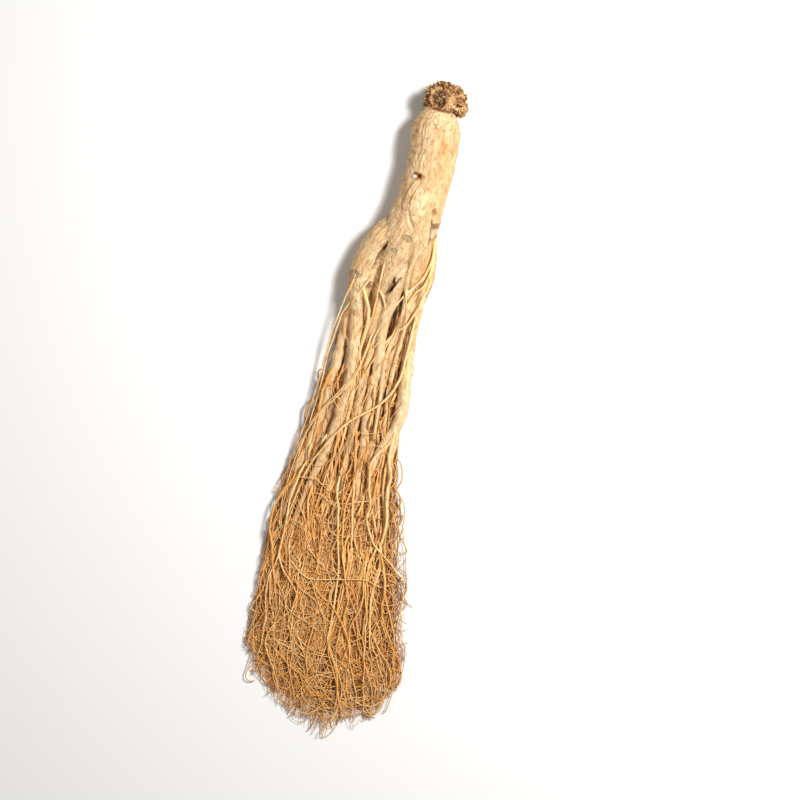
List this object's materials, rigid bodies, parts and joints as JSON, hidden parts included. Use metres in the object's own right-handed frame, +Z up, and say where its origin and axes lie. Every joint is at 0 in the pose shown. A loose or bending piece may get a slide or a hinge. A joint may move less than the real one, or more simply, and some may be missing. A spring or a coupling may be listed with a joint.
{
  "type": "ginseng root",
  "caption": "Dried white ginseng root with a knobbly scarred head, a stout pale body, forked legs and a long full beard of rootlets, lying flat.",
  "frame": {"origin": "on the small flat spot under the body, on which the root rests with the tips of two legs", "axes": "+Y along the root towards its head, +Z up off the surface it lies on"},
  "size_m": [0.0754, 0.3031, 0.0219],
  "materials": {
    "dried_root": "dry, matt, finely wrinkled lengthwise"
  },
  "bodies": {
    "root": {"ginseng_root": "dried_root"}
  },
  "joints": []
}
